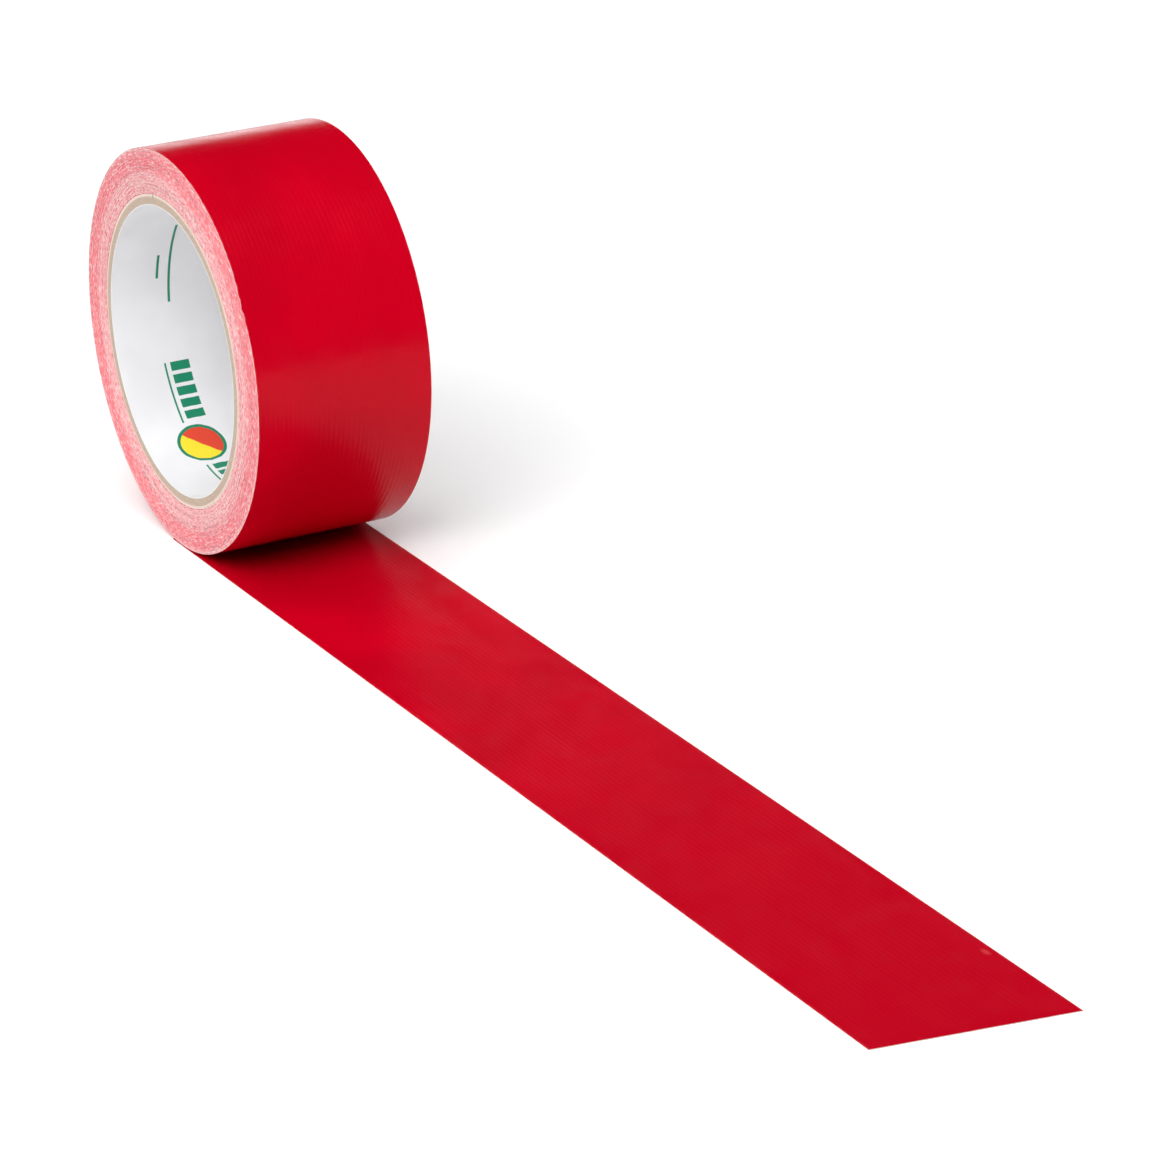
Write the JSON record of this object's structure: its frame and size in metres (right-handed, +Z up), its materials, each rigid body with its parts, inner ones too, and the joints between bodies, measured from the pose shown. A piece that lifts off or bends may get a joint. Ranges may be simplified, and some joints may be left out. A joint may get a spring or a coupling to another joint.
{
  "type": "duct tape roll",
  "caption": "Roll of cloth-backed adhesive tape on a spiral-wound board core, standing on its rim with a length peeled off and laid out flat.",
  "frame": {"origin": "on the surface under the laid-out tape, straight under the roll's axis, at mid width", "axes": "+X from under the roll to the free end of the tape, +Y along the roll's axis, +Z up"},
  "size_m": [0.4067, 0.048, 0.1062],
  "materials": {
    "film": "calendered polyethylene film, satin gloss, with the cloth's yarns showing through as fine ribs along the tape",
    "scrim": "open plain-weave polyester and cotton gauze",
    "adhesive": "tacky natural-rubber adhesive",
    "wound_edge": "slit edges of the wound tape: film, yarn ends and adhesive in fine concentric lines",
    "kraft": "unbleached core board, matte, fibrous at the cut edge",
    "liner": null
  },
  "bodies": {
    "laid_tape": {"strip_film": "film", "strip_scrim": "scrim", "strip_adhesive": "adhesive"},
    "peel_line": {"fold_film": "film", "fold_scrim": "scrim", "fold_adhesive": "adhesive"},
    "roll": {"core_liner": "liner", "core_ply_1": "kraft", "core_ply_2": "kraft", "core_ply_3": "kraft", "core_ply_4": "kraft", "wound_turns": "wound_edge", "first_turn_film": "film", "first_turn_scrim": "scrim", "first_turn_adhesive": "adhesive", "outer_turn_film": "film", "outer_turn_scrim": "scrim", "outer_turn_adhesive": "adhesive"},
    "free_end": {"tail_film": "film", "tail_scrim": "scrim", "tail_adhesive": "adhesive"}
  },
  "joints": [
    {"name": "roll_travel", "type": "slide", "parent": "laid_tape", "child": "peel_line", "axis": [1, 0, 0], "range_m": [-0.12, 0]},
    {"name": "roll_spin", "type": "hinge", "parent": "peel_line", "child": "roll", "pos_m": [0, 0, 0.0533], "axis": [0, 1, 0], "range_deg": [-360, 360]},
    {"name": "tail_lift", "type": "hinge", "parent": "laid_tape", "child": "free_end", "pos_m": [0.23, 0, 0.0002], "axis": [0, -1, 0], "range_deg": [0, 60]}
  ],
  "couplings": [
    {"joint": "roll_spin", "follows": "roll_travel", "rad_per_m": -18.868}
  ]
}
